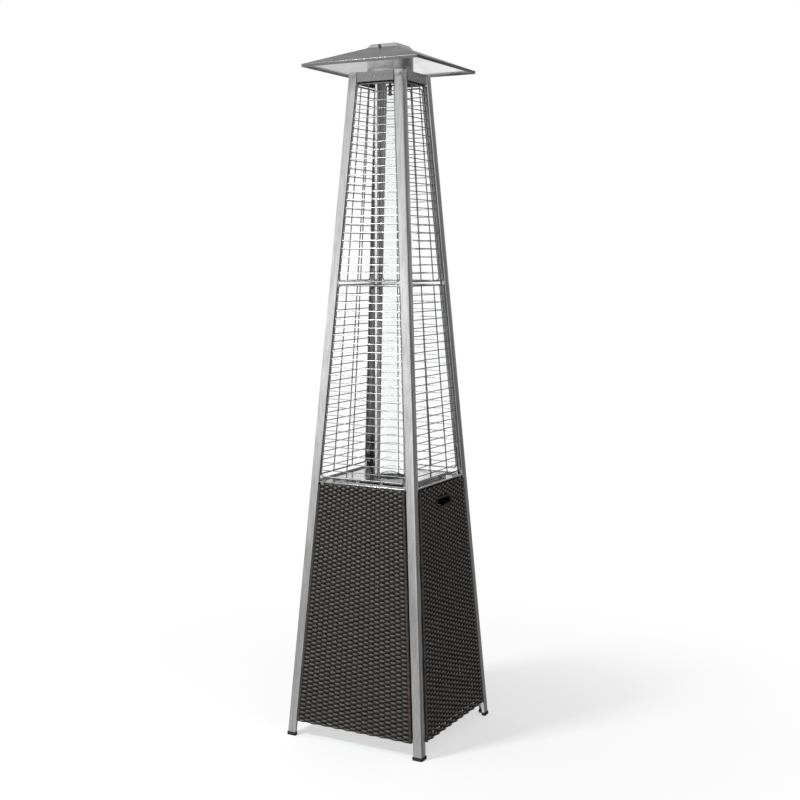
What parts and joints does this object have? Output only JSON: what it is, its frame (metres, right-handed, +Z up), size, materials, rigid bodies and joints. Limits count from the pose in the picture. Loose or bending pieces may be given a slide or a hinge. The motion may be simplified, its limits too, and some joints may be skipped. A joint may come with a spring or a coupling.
{
  "type": "outdoor gas patio heater",
  "caption": "Square pyramid gas patio heater: woven base with polished corner posts, bottom-hinged door, glass flame tube behind wire guards, and a shallow square reflector.",
  "frame": {"origin": "on the floor under the middle of the heater", "axes": "+Z up; the front face is -Y, the access door is on +X, the controls are on -X"},
  "size_m": [0.5114, 0.5114, 2.27],
  "materials": {
    "polished_steel": "mirror polished sheet",
    "brushed_steel": "satin",
    "reflector_steel": "bright satin sheet",
    "wire_steel": "bright drawn wire",
    "woven_rattan": "woven flat strands, soft sheen",
    "black_plastic": "fine grain",
    "rubber": "matt",
    "glass": "clear",
    "brass": "machined",
    "cast_iron": "heat darkened",
    "dark_steel": "heat-proof black",
    "galvanised_steel": "galvanised"
  },
  "bodies": {
    "base": {"foot_cap_front_right": "rubber", "foot_cap_rear_right": "rubber", "foot_cap_rear_left": "rubber", "foot_cap_front_left": "rubber", "lower_post_front_right": "polished_steel", "lower_post_rear_right": "polished_steel", "lower_post_rear_left": "polished_steel", "lower_post_front_left": "polished_steel", "middle_post_front_right": "polished_steel", "middle_post_rear_right": "polished_steel", "middle_post_rear_left": "polished_steel", "middle_post_front_left": "polished_steel", "upper_post_front_right": "polished_steel", "upper_post_rear_right": "polished_steel", "upper_post_rear_left": "polished_steel", "upper_post_front_left": "polished_steel", "panel_front": "woven_rattan", "panel_rear": "woven_rattan", "panel_left": "woven_rattan", "door_hinge_bracket_front": "brushed_steel", "door_hinge_bracket_rear": "brushed_steel", "door_magnet_catch": "dark_steel", "gas_bottle_tray": "galvanised_steel", "deck_plate": "polished_steel", "burner_cover": "polished_steel", "burner_pan": "dark_steel", "burner_head": "cast_iron", "mixer_tube": "brass", "pilot_burner": "brass", "thermocouple": "brushed_steel", "tube_foot_ring": "dark_steel", "flame_tube_lower": "glass", "flame_tube_upper": "glass", "tube_top_collar": "dark_steel", "lower_guard_front": "wire_steel", "lower_guard_right": "wire_steel", "lower_guard_rear": "wire_steel", "lower_guard_left": "wire_steel", "upper_guard_front": "wire_steel", "upper_guard_right": "wire_steel", "upper_guard_rear": "wire_steel", "upper_guard_left": "wire_steel", "top_plate": "brushed_steel", "flame_drum": "polished_steel", "reflector_stud": "dark_steel", "reflector": "reflector_steel", "reflector_nut": "brushed_steel", "reflector_cap": "polished_steel", "control_box": "brushed_steel", "gas_valve_body": "brass", "igniter_body": "black_plastic", "gas_pipe": "brass"},
    "door": {"door_panel": "woven_rattan", "door_hand_grip": "black_plastic", "door_hinge_pin_front": "brushed_steel", "door_hinge_pin_rear": "brushed_steel"},
    "valve_rotor": {"gas_valve_rotor": "brass"},
    "knob": {"gas_valve_stem": "brushed_steel", "control_knob": "black_plastic"},
    "igniter_button_body": {"igniter_button": "rubber"}
  },
  "joints": [
    {"name": "door_hinge", "type": "hinge", "parent": "base", "child": "door", "pos_m": [0.24563, 0, 0.057], "axis": [0, 1, 0], "range_deg": [0, 97]},
    {"name": "valve_turn", "type": "hinge", "parent": "base", "child": "valve_rotor", "pos_m": [-0.19556, 0.024, 0.815], "axis": [-0.9975, 0, 0.0712], "range_deg": [0, 180]},
    {"name": "knob_press", "type": "slide", "parent": "valve_rotor", "child": "knob", "axis": [0.9975, 0, -0.0712], "range_m": [0, 0.004], "stiffness_N_per_m": 600},
    {"name": "igniter_press", "type": "slide", "parent": "base", "child": "igniter_button_body", "axis": [0.9975, 0, -0.0712], "range_m": [0, 0.006], "stiffness_N_per_m": 500}
  ]
}
